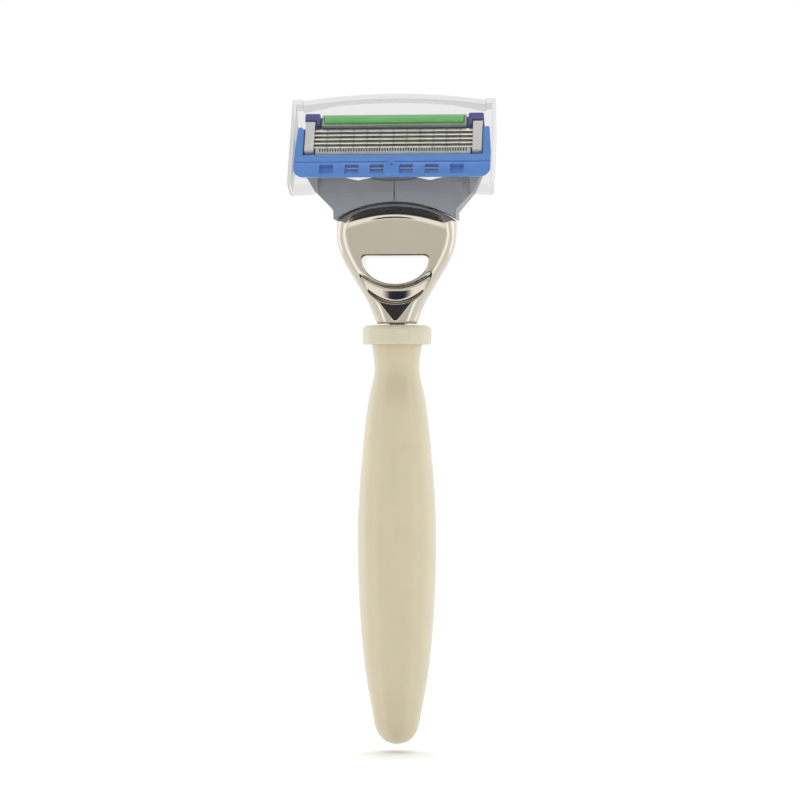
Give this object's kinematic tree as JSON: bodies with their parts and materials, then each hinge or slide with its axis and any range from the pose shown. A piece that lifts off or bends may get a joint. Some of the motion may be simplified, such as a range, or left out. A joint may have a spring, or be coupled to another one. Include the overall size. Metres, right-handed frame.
{
  "type": "cartridge razor",
  "caption": "Wet-shaving cartridge razor: turned ivory resin handle, chromed head with a thumb window, pivoting multi-blade cartridge under a clear travel cover.",
  "frame": {"origin": "on the handle's axis, at the flat underside of the collar", "axes": "+Z along the handle to the cartridge, -Y out of the shaving side, X across the cartridge"},
  "size_m": [0.0428, 0.026, 0.138],
  "materials": {
    "ivory_resin": "cast resin, satin gloss",
    "collar_resin": "polished resin",
    "rubber": "matte",
    "brass": "turned",
    "steel": "plain rolled",
    "spring_steel": "drawn wire",
    "chrome": "mirror polish",
    "black_plastic": "fine texture",
    "grey_plastic": "satin",
    "indigo_plastic": "moulded satin",
    "blue_elastomer": "soft satin",
    "pale_grey_plastic": "moulded",
    "grey_green_plastic": "moulded",
    "green_strip": "waxy, dry",
    "clip_aluminium": "formed sheet, satin",
    "blade_steel": "coated bright",
    "clear_plastic": "clear moulded plastic, gloss"
  },
  "bodies": {
    "handle": {"handle_grip": "ivory_resin", "neck_collar": "collar_resin", "seal_washer": "rubber", "threaded_insert": "brass", "tang_stud": "steel", "head_casting": "chrome", "dock_body": "black_plastic", "button_spring": "spring_steel"},
    "button": {"release_button": "black_plastic"},
    "carrier": {"interconnect": "grey_plastic", "plunger_spring": "spring_steel"},
    "plunger": {"plunger": "grey_plastic"},
    "cartridge": {"cartridge_housing": "indigo_plastic", "guard_elastomer": "blue_elastomer", "comb_guard": "pale_grey_plastic", "blade_1": "blade_steel", "blade_2": "blade_steel", "blade_3": "blade_steel", "blade_4": "blade_steel", "blade_5": "blade_steel", "blade_support_1": "steel", "blade_support_2": "steel", "blade_support_3": "steel", "blade_support_4": "steel", "blade_support_5": "steel", "strip_tray": "grey_green_plastic", "lubricating_strip": "green_strip", "clip_right": "clip_aluminium", "clip_left": "clip_aluminium"},
    "cover": {"protective_cover": "clear_plastic"}
  },
  "joints": [
    {"name": "cartridge_release", "type": "slide", "parent": "handle", "child": "carrier", "axis": [0, 0, 1], "range_m": [0, 0.02]},
    {"name": "release_button_slide", "type": "slide", "parent": "handle", "child": "button", "axis": [0, 0, 1], "range_m": [0, 0.003], "stiffness_N_per_m": 300, "springref_m": -0.003, "deforming": ["button_spring"]},
    {"name": "cartridge_pivot", "type": "hinge", "parent": "carrier", "child": "cartridge", "pos_m": [0, -0.00854, 0.03641], "axis": [-1, 0, 0], "range_deg": [0, 40], "stiffness_Nm_per_rad": 0.01, "springref_deg": -28.65},
    {"name": "plunger_slide", "type": "slide", "parent": "carrier", "child": "plunger", "axis": [0, -0.3746, 0.9272], "range_m": [-0.0019, 0], "deforming": ["plunger_spring"]},
    {"name": "cover_pull", "type": "slide", "parent": "cartridge", "child": "cover", "axis": [0, -0.8829, 0.4695], "range_m": [0, 0.025]}
  ],
  "couplings": [
    {"joint": "plunger_slide", "follows": "cartridge_pivot", "m_per_rad": -0.00259}
  ]
}
